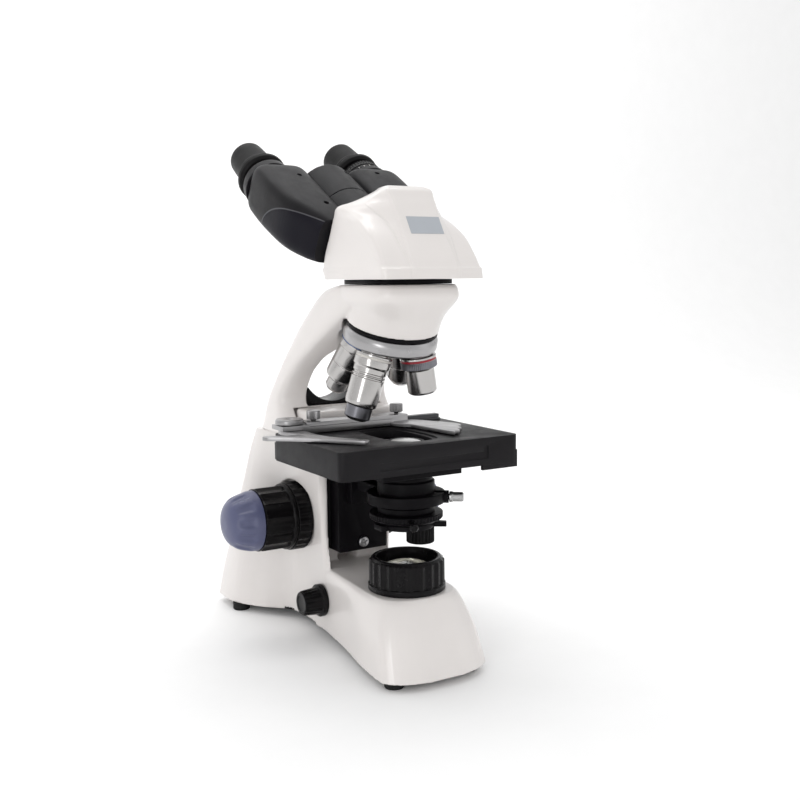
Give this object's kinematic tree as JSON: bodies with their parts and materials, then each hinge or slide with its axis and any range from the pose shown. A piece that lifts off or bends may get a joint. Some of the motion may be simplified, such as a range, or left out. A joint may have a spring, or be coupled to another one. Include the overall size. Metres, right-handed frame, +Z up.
{
  "type": "microscope",
  "caption": "binocular compound light microscope: white stand with open arm, tilted swinging eyepieces, revolving nosepiece, mechanical stage, condenser and base lamp",
  "frame": {"origin": "middle of the object's footprint box at table level, under the feet", "axes": "+Z up, -Y towards the front edge of the base (the lamp end), +X to the right seen from the front"},
  "size_m": [0.1772, 0.2568, 0.365],
  "materials": {
    "white_paint": "warm white semi-gloss enamel",
    "stage_black": "black semi-matte coating",
    "black_aluminium": "black satin coated aluminium",
    "black_plastic": "moulded black, semi-gloss",
    "blue_plastic": "slate blue moulded plastic",
    "foot_rubber": "black rubber",
    "chrome_plate": "bright plated",
    "silver_metal": "satin silver plated",
    "lamp_metal": "plain metal lamp body",
    "brushed_steel": "turned steel",
    "dark_metal": "dark anodised",
    "clear_glass": "polished optical glass"
  },
  "bodies": {
    "stand": {"base_casting": "white_paint", "base_plate": "stage_black", "foot_front_left": "foot_rubber", "foot_front_right": "foot_rubber", "foot_rear_left": "foot_rubber", "foot_rear_right": "foot_rubber", "arm_casting": "white_paint", "window_grip": "black_plastic", "power_inlet": "black_plastic", "lamp_reflector": "chrome_plate", "field_lens": "clear_glass", "lamp_bulb": "lamp_metal", "bearing_collar": "black_plastic", "nosepiece_mount": "black_aluminium"},
    "dimmer": {"dimmer_knob": "black_plastic"},
    "rocker": {"power_rocker": "black_plastic"},
    "lamp_ring": {"lamp_collar": "black_plastic"},
    "tension_ring": {"tension_collar": "black_plastic"},
    "coarse_drive": {"coarse_shaft": "brushed_steel", "coarse_knob_left": "black_plastic", "coarse_knob_right": "black_plastic"},
    "fine_drive": {"fine_shaft": "brushed_steel", "fine_knob_left": "blue_plastic", "fine_knob_right": "blue_plastic"},
    "carrier": {"stage_carrier": "black_aluminium", "stage_bracket": "black_aluminium", "stage_base": "black_aluminium", "condenser_holder": "black_aluminium"},
    "limit_screw": {"stop_screw": "brushed_steel"},
    "cross_stage": {"stage_top": "stage_black", "slide_rail": "dark_metal"},
    "slide_holder": {"slide_carriage": "silver_metal"},
    "left_screw": {"thumb_screw_left": "silver_metal"},
    "right_screw": {"thumb_screw_right": "silver_metal"},
    "spring_finger": {"slide_finger": "silver_metal", "spring_cap": "silver_metal"},
    "y_drive": {"stage_y_knob": "black_plastic"},
    "x_drive": {"stage_x_knob": "black_plastic", "stage_drive_shaft": "brushed_steel"},
    "condenser": {"condenser_body": "black_aluminium", "condenser_lens": "clear_glass"},
    "iris": {"iris_ring": "black_aluminium"},
    "filter_arm": {"filter_holder": "black_aluminium"},
    "clamp_screw": {"condenser_clamp": "brushed_steel"},
    "nosepiece": {"nosepiece_turret": "silver_metal", "objective_4x": "chrome_plate", "objective_10x": "chrome_plate", "objective_40x": "chrome_plate", "objective_100x": "chrome_plate"},
    "head": {"head_plate": "black_aluminium", "head_cowl": "white_paint", "hinge_axle": "black_aluminium"},
    "left_half": {"binocular_left": "black_aluminium", "eye_tube_left": "black_aluminium"},
    "right_half": {"binocular_right": "black_aluminium", "eye_tube_right": "black_aluminium"},
    "diopter": {"diopter_ring": "black_plastic"},
    "left_eyepiece": {"eyepiece_left": "black_plastic"},
    "right_eyepiece": {"eyepiece_right": "black_plastic"}
  },
  "joints": [
    {"name": "dimmer_turn", "type": "hinge", "parent": "stand", "child": "dimmer", "pos_m": [-0.03, -0.00339, 0.029], "axis": [-1, 0, 0], "range_deg": [0, 280]},
    {"name": "power_rock", "type": "hinge", "parent": "stand", "child": "rocker", "pos_m": [0.03, 0.11511, 0.023], "axis": [1, 0, 0], "range_deg": [-10, 0]},
    {"name": "lamp_ring_turn", "type": "hinge", "parent": "stand", "child": "lamp_ring", "pos_m": [0, -0.07839, 0.06], "axis": [0, 0, 1], "range_deg": [0, 90]},
    {"name": "tension_turn", "type": "hinge", "parent": "stand", "child": "tension_ring", "pos_m": [-0.035, 0.02561, 0.087], "axis": [1, 0, 0], "range_deg": [-60, 60]},
    {"name": "stage_focus", "type": "slide", "parent": "stand", "child": "carrier", "axis": [0, 0, 1], "range_m": [-0.012, 0.0055]},
    {"name": "coarse_turn", "type": "hinge", "parent": "stand", "child": "coarse_drive", "pos_m": [0, 0.02561, 0.087], "axis": [1, 0, 0], "range_deg": [-40, 87]},
    {"name": "fine_turn", "type": "hinge", "parent": "stand", "child": "fine_drive", "pos_m": [0, 0.02561, 0.087], "axis": [1, 0, 0], "range_deg": [-720, 720]},
    {"name": "limit_screw_turn", "type": "hinge", "parent": "carrier", "child": "limit_screw", "pos_m": [0, -0.01339, 0.072], "axis": [0, -1, 0], "range_deg": [-360, 0]},
    {"name": "stage_y", "type": "slide", "parent": "carrier", "child": "cross_stage", "axis": [0, 1, 0], "range_m": [-0.024, 0.004]},
    {"name": "y_knob_turn", "type": "hinge", "parent": "carrier", "child": "y_drive", "pos_m": [0.038, -0.03539, 0.098], "axis": [0, 0, 1], "range_deg": [-39, 230]},
    {"name": "stage_x", "type": "slide", "parent": "cross_stage", "child": "slide_holder", "axis": [1, 0, 0], "range_m": [-0.014, 0.018]},
    {"name": "x_knob_turn", "type": "hinge", "parent": "carrier", "child": "x_drive", "pos_m": [0.038, -0.03539, 0.08], "axis": [0, 0, 1], "range_deg": [-135, 173]},
    {"name": "left_screw_turn", "type": "hinge", "parent": "slide_holder", "child": "left_screw", "pos_m": [-0.041, -0.02489, 0.165], "axis": [0, 0, 1], "range_deg": [0, 360]},
    {"name": "right_screw_turn", "type": "hinge", "parent": "slide_holder", "child": "right_screw", "pos_m": [0.025, -0.02489, 0.165], "axis": [0, 0, 1], "range_deg": [0, 360]},
    {"name": "finger_swing", "type": "hinge", "parent": "slide_holder", "child": "spring_finger", "pos_m": [-0.06, -0.02689, 0.16], "axis": [0, 0, 1], "range_deg": [-25, 0], "stiffness_Nm_per_rad": 0.04, "springref_deg": 17.19},
    {"name": "condenser_slide", "type": "slide", "parent": "carrier", "child": "condenser", "axis": [0, 0, 1], "range_m": [-0.007, 0]},
    {"name": "iris_turn", "type": "hinge", "parent": "condenser", "child": "iris", "pos_m": [0, -0.07839, 0.103], "axis": [0, 0, 1], "range_deg": [-35, 35]},
    {"name": "filter_swing", "type": "hinge", "parent": "condenser", "child": "filter_arm", "pos_m": [-0.0196, -0.07839, 0.097], "axis": [0, 0, 1], "range_deg": [-100, 0]},
    {"name": "clamp_turn", "type": "hinge", "parent": "carrier", "child": "clamp_screw", "pos_m": [0.0236, -0.09683, 0.1159], "axis": [0.788, -0.6157, 0], "range_deg": [-360, 0]},
    {"name": "nosepiece_turn", "type": "hinge", "parent": "stand", "child": "nosepiece", "pos_m": [0, -0.06272, 0.2286], "axis": [0, -0.3173, 0.9483], "continuous": true},
    {"name": "head_turn", "type": "hinge", "parent": "stand", "child": "head", "pos_m": [0, -0.07839, 0.2583], "axis": [0, 0, 1], "continuous": true},
    {"name": "left_half_swing", "type": "hinge", "parent": "head", "child": "left_half", "pos_m": [0, -0.07839, 0.2583], "axis": [0, 0.866, 0.5], "range_deg": [0, 43]},
    {"name": "right_half_swing", "type": "hinge", "parent": "head", "child": "right_half", "pos_m": [0, -0.07839, 0.2583], "axis": [0, 0.866, 0.5], "range_deg": [-43, 0]},
    {"name": "diopter_turn", "type": "hinge", "parent": "right_half", "child": "diopter", "pos_m": [0.0405, 0.04791, 0.3312], "axis": [0, 0.866, 0.5], "range_deg": [-120, 120]},
    {"name": "right_eyepiece_focus", "type": "slide", "parent": "right_half", "child": "right_eyepiece", "axis": [0, 0.866, 0.5], "range_m": [-0.0032, 0.0032]},
    {"name": "left_eyepiece_slide", "type": "slide", "parent": "left_half", "child": "left_eyepiece", "axis": [0, 0.866, 0.5], "range_m": [0, 0.025]}
  ],
  "couplings": [
    {"joint": "coarse_turn", "follows": "stage_focus", "rad_per_m": -125},
    {"joint": "y_knob_turn", "follows": "stage_y", "rad_per_m": -166.67},
    {"joint": "x_knob_turn", "follows": "stage_x", "rad_per_m": 166.67},
    {"joint": "right_half_swing", "follows": "left_half_swing", "ratio": -1},
    {"joint": "diopter_turn", "follows": "right_eyepiece_focus", "rad_per_m": 650}
  ]
}
